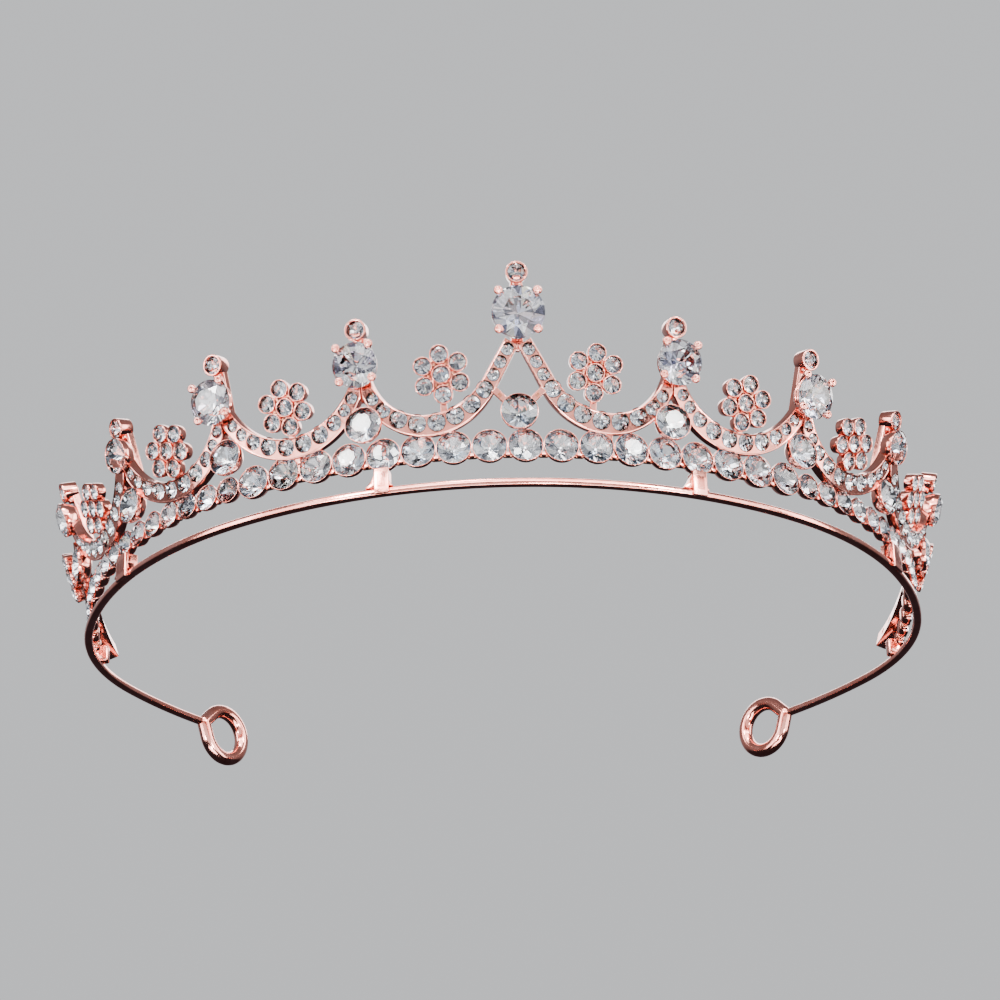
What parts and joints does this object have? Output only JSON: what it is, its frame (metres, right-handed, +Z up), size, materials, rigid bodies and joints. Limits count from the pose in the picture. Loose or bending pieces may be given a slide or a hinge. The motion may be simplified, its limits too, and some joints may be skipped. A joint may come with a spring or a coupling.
{
  "type": "bridal tiara",
  "caption": "Slim wire headband with end loops, a rail of round stones above it, leaning festoons with stone peaks and small stone flowers.",
  "frame": {"origin": "centre of the bounding box at its lowest level, which is the lowest point of the two end loops", "axes": "+X to the viewer's right and the wearer's left, -Y towards the front of the tiara, +Z up from the headband to the peaks"},
  "size_m": [0.1364, 0.1024, 0.0374],
  "materials": {
    "rose_gold": "polished rose gold plating over cast alloy and wire",
    "rhinestone": "clear faceted glass with a foil back",
    "brilliant": "clear faceted cubic zirconia, no foil"
  },
  "bodies": {
    "root": {"headband": "rose_gold", "loop_left": "rose_gold", "loop_right": "rose_gold", "post_front_left": "rose_gold", "post_front_right": "rose_gold", "post_side_left": "rose_gold", "post_side_right": "rose_gold", "rail_front": "rose_gold", "rail_left": "rose_gold", "rail_right": "rose_gold", "rail_stones_front": "rhinestone", "rail_stones_left": "rhinestone", "rail_stones_right": "rhinestone", "festoon_a_left": "rose_gold", "festoon_b_left": "rose_gold", "festoon_c_left": "rose_gold", "festoon_d_left": "rose_gold", "tail_left": "rose_gold", "festoon_a_right": "rose_gold", "festoon_b_right": "rose_gold", "festoon_c_right": "rose_gold", "festoon_d_right": "rose_gold", "tail_right": "rose_gold", "pave_stones_left": "rhinestone", "pave_stones_right": "rhinestone", "under_cups": "rose_gold", "under_stones": "rhinestone", "stem_centre": "rose_gold", "stem_1_left": "rose_gold", "stem_1_right": "rose_gold", "stem_2_left": "rose_gold", "stem_2_right": "rose_gold", "stem_3_left": "rose_gold", "stem_3_right": "rose_gold", "stem_4_left": "rose_gold", "stem_4_right": "rose_gold", "finial_stones": "rhinestone", "basket_centre": "rose_gold", "basket_1_left": "rose_gold", "basket_1_right": "rose_gold", "basket_2_left": "rose_gold", "basket_2_right": "rose_gold", "brilliant_centre": "brilliant", "brilliants_side": "brilliant", "peak_cups": "rose_gold", "peak_stones": "rhinestone", "flower_a_left": "rose_gold", "flower_b_left": "rose_gold", "flower_c_left": "rose_gold", "flower_d_left": "rose_gold", "flower_e_left": "rose_gold", "flower_a_right": "rose_gold", "flower_b_right": "rose_gold", "flower_c_right": "rose_gold", "flower_d_right": "rose_gold", "flower_e_right": "rose_gold", "flower_stones_left": "rhinestone", "flower_stones_right": "rhinestone"}
  },
  "joints": []
}
